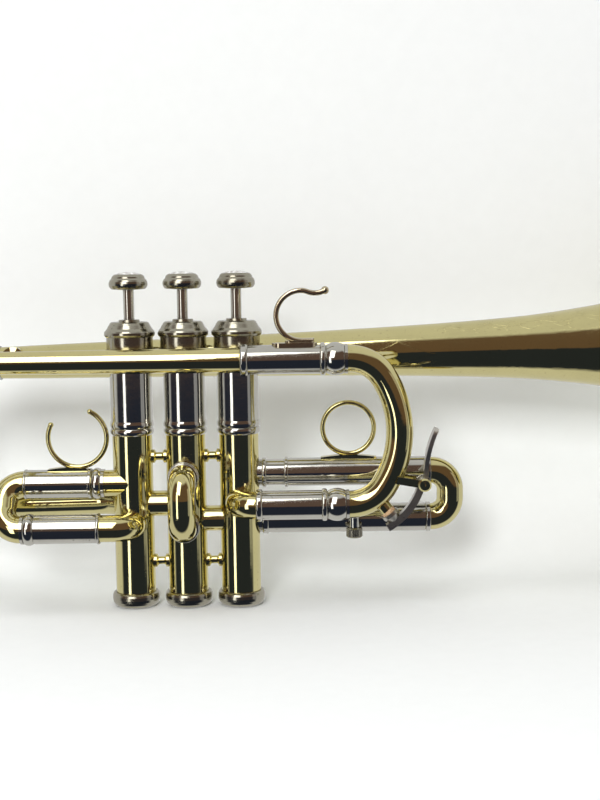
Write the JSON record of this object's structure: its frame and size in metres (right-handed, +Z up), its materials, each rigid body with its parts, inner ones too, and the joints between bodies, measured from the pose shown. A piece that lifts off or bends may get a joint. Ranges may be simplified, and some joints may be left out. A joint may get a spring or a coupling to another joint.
{
  "type": "trumpet",
  "caption": "Soprano trumpet with piston valves, pull-out slides, finger hook, thumb saddle, finger ring and sprung water key.",
  "frame": {"origin": "on the second valve's axis at the height where the left hand wraps the valve casings", "axes": "+X along the bell towards its rim, +Z up along the pistons towards the finger buttons, +Y to the player's left, away from the leadpipe side"},
  "size_m": [0.4408, 0.1226, 0.1808],
  "materials": {
    "brass": "polished, clear lacquer",
    "nickel": "polished nickel silver",
    "piston_metal": "lapped monel",
    "inlay": "pearl inlay",
    "felt": "pressed wool felt",
    "cork": "natural cork",
    "spring_steel": "spring wire",
    "guide_plastic": "moulded"
  },
  "bodies": {
    "instrument_body": {"bell_bow": "brass", "bell_flare": "brass", "bell_rim_wire": "brass", "bell_stem": "brass", "bell_tail": "brass", "bottom_valve_caps": "nickel", "crossover_tubes": "brass", "first_fixed_tubes": "brass", "fixed_rings": "nickel", "front_bell_brace": "brass", "leadpipe": "brass", "mouthpiece_receiver": "nickel", "pinky_hook": "nickel", "rear_bell_brace": "brass", "second_fixed_tubes": "nickel", "third_fixed_tubes": "nickel", "top_valve_caps": "nickel", "tuning_elbow": "brass", "tuning_outer_tubes": "nickel", "valve_balusters": "nickel", "valve_braces": "brass", "valve_casing_1": "brass", "valve_casing_2": "brass", "valve_casing_3": "brass", "valve_guides": "guide_plastic"},
    "piston_1": {"piston_1": "piston_metal", "stem_1": "nickel", "button_1": "nickel", "button_inlay_1": "inlay", "valve_felts_1": "felt", "valve_spring_1": "spring_steel"},
    "piston_2": {"piston_2": "piston_metal", "stem_2": "nickel", "button_2": "nickel", "button_inlay_2": "inlay", "valve_felts_2": "felt", "valve_spring_2": "spring_steel"},
    "piston_3": {"piston_3": "piston_metal", "stem_3": "nickel", "button_3": "nickel", "button_inlay_3": "inlay", "valve_felts_3": "felt", "valve_spring_3": "spring_steel"},
    "tuning_slide": {"tuning_bow": "brass", "tuning_inner_tubes": "nickel", "water_key_bracket": "brass"},
    "water_key": {"water_key_lever": "nickel", "water_key_cork": "cork", "water_key_spring": "spring_steel"},
    "first_slide": {"first_bow": "brass", "first_moving_tubes": "nickel", "thumb_saddle": "brass", "first_pull_knob": "brass"},
    "second_slide": {"second_bow": "brass", "second_moving_tubes": "nickel"},
    "third_slide": {"third_bow": "brass", "third_moving_tubes": "nickel", "third_finger_ring": "brass"},
    "lock_screw": {"lock_screw": "nickel"}
  },
  "joints": [
    {"name": "piston_1_travel", "type": "slide", "parent": "instrument_body", "child": "piston_1", "axis": [0, 0, -1], "range_m": [0, 0.013], "stiffness_N_per_m": 110, "springref_m": -0.02, "deforming": ["valve_spring_1"]},
    {"name": "piston_2_travel", "type": "slide", "parent": "instrument_body", "child": "piston_2", "axis": [0, 0, -1], "range_m": [0, 0.013], "stiffness_N_per_m": 110, "springref_m": -0.02, "deforming": ["valve_spring_2"]},
    {"name": "piston_3_travel", "type": "slide", "parent": "instrument_body", "child": "piston_3", "axis": [0, 0, -1], "range_m": [0, 0.013], "stiffness_N_per_m": 110, "springref_m": -0.02, "deforming": ["valve_spring_3"]},
    {"name": "tuning_slide_pull", "type": "slide", "parent": "instrument_body", "child": "tuning_slide", "axis": [1, 0, 0], "range_m": [0, 0.025]},
    {"name": "first_slide_pull", "type": "slide", "parent": "instrument_body", "child": "first_slide", "axis": [-1, 0, 0], "range_m": [0, 0.018]},
    {"name": "second_slide_pull", "type": "slide", "parent": "instrument_body", "child": "second_slide", "axis": [0, -1, 0], "range_m": [0, 0.008]},
    {"name": "third_slide_pull", "type": "slide", "parent": "instrument_body", "child": "third_slide", "axis": [1, 0, 0], "range_m": [0, 0.03]},
    {"name": "water_key_press", "type": "hinge", "parent": "tuning_slide", "child": "water_key", "pos_m": [0.1095, -0.017, 0.0115], "axis": [0, -1, 0], "range_deg": [0, 16], "stiffness_Nm_per_rad": 0.03, "springref_deg": -57.3},
    {"name": "lock_screw_turn", "type": "hinge", "parent": "instrument_body", "child": "lock_screw", "pos_m": [0.078, -0.0079, -0.0125], "axis": [0, 0, 1], "continuous": true}
  ]
}
